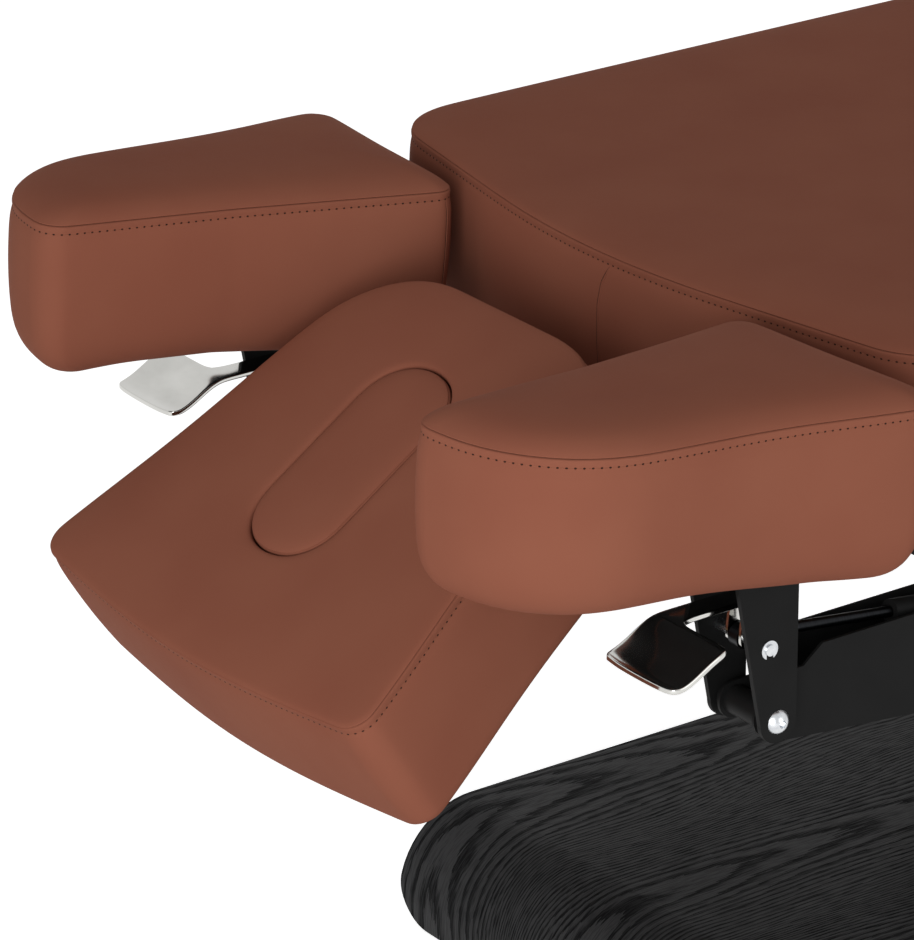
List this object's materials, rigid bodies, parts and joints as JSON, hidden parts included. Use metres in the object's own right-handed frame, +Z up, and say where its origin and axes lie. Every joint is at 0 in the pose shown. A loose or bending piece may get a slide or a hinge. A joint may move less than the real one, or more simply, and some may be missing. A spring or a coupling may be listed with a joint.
{
  "type": "electric massage table",
  "caption": "Upholstered electric massage table with drop arm rests, tilting face-hole headrest and low bentwood plinth.",
  "frame": {"origin": "on the floor under the middle of the table's length and width", "axes": "+X towards the foot end, +Y to the left of someone looking from the head end, +Z up"},
  "size_m": [1.962, 0.908, 0.7801],
  "materials": {
    "leatherette": "terracotta-brown leatherette over foam, soft satin, fine grain",
    "black_steel": "satin black powder coat",
    "black_ash": "black-stained open-pore ash veneer, satin",
    "polished_steel": "mirror-polished stainless steel",
    "zinc": "bright zinc-plated steel",
    "plywood": "raw birch plywood",
    "black_plastic": "matt black plastic",
    "rubber": "matt black rubber",
    "alloy": "satin anodised aluminium"
  },
  "bodies": {
    "base": {"column_outer_tubes": "alloy", "outer_glides": "black_plastic", "lift_spindles": "polished_steel", "base_frame": "black_steel", "base_cover": "black_ash", "side_panels": "black_ash", "rubber_feet": "rubber", "lift_motors": "black_steel", "control_box": "black_plastic", "mains_inlet": "black_plastic", "pedal_pin": "zinc"},
    "lift_stage": {"column_middle_tubes": "alloy", "inner_glides": "black_plastic"},
    "top": {"main_cushion": "leatherette", "main_board": "plywood", "top_frame": "black_steel", "column_inner_tubes": "alloy", "spindle_nuts": "alloy", "headrest_shaft": "polished_steel", "headrest_rear_pin": "zinc", "arm_beam_left": "black_steel", "arm_beam_right": "black_steel", "rear_pin_left": "zinc", "rear_pin_right": "zinc"},
    "headrest": {"headrest_cushion": "leatherette", "headrest_board": "plywood", "headrest_carrier": "black_steel", "headrest_strut_pin": "zinc"},
    "face_plug": {"headrest_plug": "leatherette"},
    "headrest_cylinder": {"headrest_strut_cylinder": "black_steel"},
    "headrest_rod": {"headrest_strut_rod": "polished_steel"},
    "switch_rocker": {"mains_switch": "black_plastic"},
    "pedal": {"foot_pedal": "black_steel"},
    "arm_left": {"arm_cushion_left": "leatherette", "arm_board_left": "plywood", "arm_bracket_left": "black_steel", "strut_pin_left": "zinc", "pin_clips_left": "zinc", "pivot_bolt_left": "zinc"},
    "lever_left": {"release_lever_left": "polished_steel"},
    "cylinder_left": {"strut_cylinder_left": "black_steel"},
    "rod_left": {"strut_rod_left": "polished_steel"},
    "arm_right": {"arm_cushion_right": "leatherette", "arm_board_right": "plywood", "arm_bracket_right": "black_steel", "strut_pin_right": "zinc", "pin_clips_right": "zinc", "pivot_bolt_right": "zinc"},
    "lever_right": {"release_lever_right": "polished_steel"},
    "cylinder_right": {"strut_cylinder_right": "black_steel"},
    "rod_right": {"strut_rod_right": "polished_steel"}
  },
  "joints": [
    {"name": "table_lift", "type": "slide", "parent": "base", "child": "top", "axis": [0, 0, 1], "range_m": [-0.14, 0.14]},
    {"name": "stage_lift", "type": "slide", "parent": "base", "child": "lift_stage", "axis": [0, 0, 1], "range_m": [-0.07, 0.07]},
    {"name": "arm_left_drop", "type": "hinge", "parent": "top", "child": "arm_left", "pos_m": [-0.60939, 0.343, 0.457], "axis": [0, -1, 0], "range_deg": [0, 25]},
    {"name": "lever_left_pull", "type": "hinge", "parent": "arm_left", "child": "lever_left", "pos_m": [-0.62039, 0.343, 0.527], "axis": [0, 1, 0], "range_deg": [0, 8], "stiffness_Nm_per_rad": 6, "springref_deg": -4.58},
    {"name": "cylinder_left_swing", "type": "hinge", "parent": "top", "child": "cylinder_left", "pos_m": [-0.25439, 0.343, 0.48], "axis": [0, -1, 0], "range_deg": [0, 4]},
    {"name": "rod_left_slide", "type": "slide", "parent": "cylinder_left", "child": "rod_left", "axis": [-0.9919, 0, 0.1274], "range_m": [0, 0.032]},
    {"name": "arm_right_drop", "type": "hinge", "parent": "top", "child": "arm_right", "pos_m": [-0.60939, -0.343, 0.457], "axis": [0, -1, 0], "range_deg": [0, 25]},
    {"name": "lever_right_pull", "type": "hinge", "parent": "arm_right", "child": "lever_right", "pos_m": [-0.62039, -0.343, 0.527], "axis": [0, 1, 0], "range_deg": [0, 8], "stiffness_Nm_per_rad": 6, "springref_deg": -4.58},
    {"name": "cylinder_right_swing", "type": "hinge", "parent": "top", "child": "cylinder_right", "pos_m": [-0.25439, -0.343, 0.48], "axis": [0, -1, 0], "range_deg": [0, 4]},
    {"name": "rod_right_slide", "type": "slide", "parent": "cylinder_right", "child": "rod_right", "axis": [-0.9919, 0, 0.1274], "range_m": [0, 0.032]},
    {"name": "headrest_tilt", "type": "hinge", "parent": "top", "child": "headrest", "pos_m": [-0.50239, 0, 0.583], "axis": [0, 1, 0], "range_deg": [0, 32]},
    {"name": "headrest_cylinder_swing", "type": "hinge", "parent": "top", "child": "headrest_cylinder", "pos_m": [-0.11103, 0, 0.52905], "axis": [0, -1, 0], "range_deg": [0, 1]},
    {"name": "headrest_rod_slide", "type": "slide", "parent": "headrest_cylinder", "child": "headrest_rod", "axis": [-1, 0, 0], "range_m": [0, 0.034]},
    {"name": "plug_lift", "type": "slide", "parent": "headrest", "child": "face_plug", "axis": [-0.5299, 0, 0.848], "range_m": [0, 0.15]},
    {"name": "switch_rock", "type": "hinge", "parent": "base", "child": "switch_rocker", "pos_m": [0.68361, 0.231, 0.0515], "axis": [1, 0, 0], "range_deg": [-8, 8]},
    {"name": "pedal_rock", "type": "hinge", "parent": "base", "child": "pedal", "pos_m": [0.24761, 0, 0.055], "axis": [0, 1, 0], "range_deg": [-7, 7], "stiffness_Nm_per_rad": 8}
  ],
  "couplings": [
    {"joint": "stage_lift", "follows": "table_lift", "ratio": 0.5},
    {"joint": "cylinder_left_swing", "follows": "arm_left_drop", "ratio": 0.08036},
    {"joint": "rod_left_slide", "follows": "arm_left_drop", "m_per_rad": 0.063197},
    {"joint": "cylinder_right_swing", "follows": "arm_right_drop", "ratio": 0.08036},
    {"joint": "rod_right_slide", "follows": "arm_right_drop", "m_per_rad": 0.063197},
    {"joint": "headrest_cylinder_swing", "follows": "headrest_tilt", "ratio": 0.01466},
    {"joint": "headrest_rod_slide", "follows": "headrest_tilt", "m_per_rad": 0.055418}
  ]
}
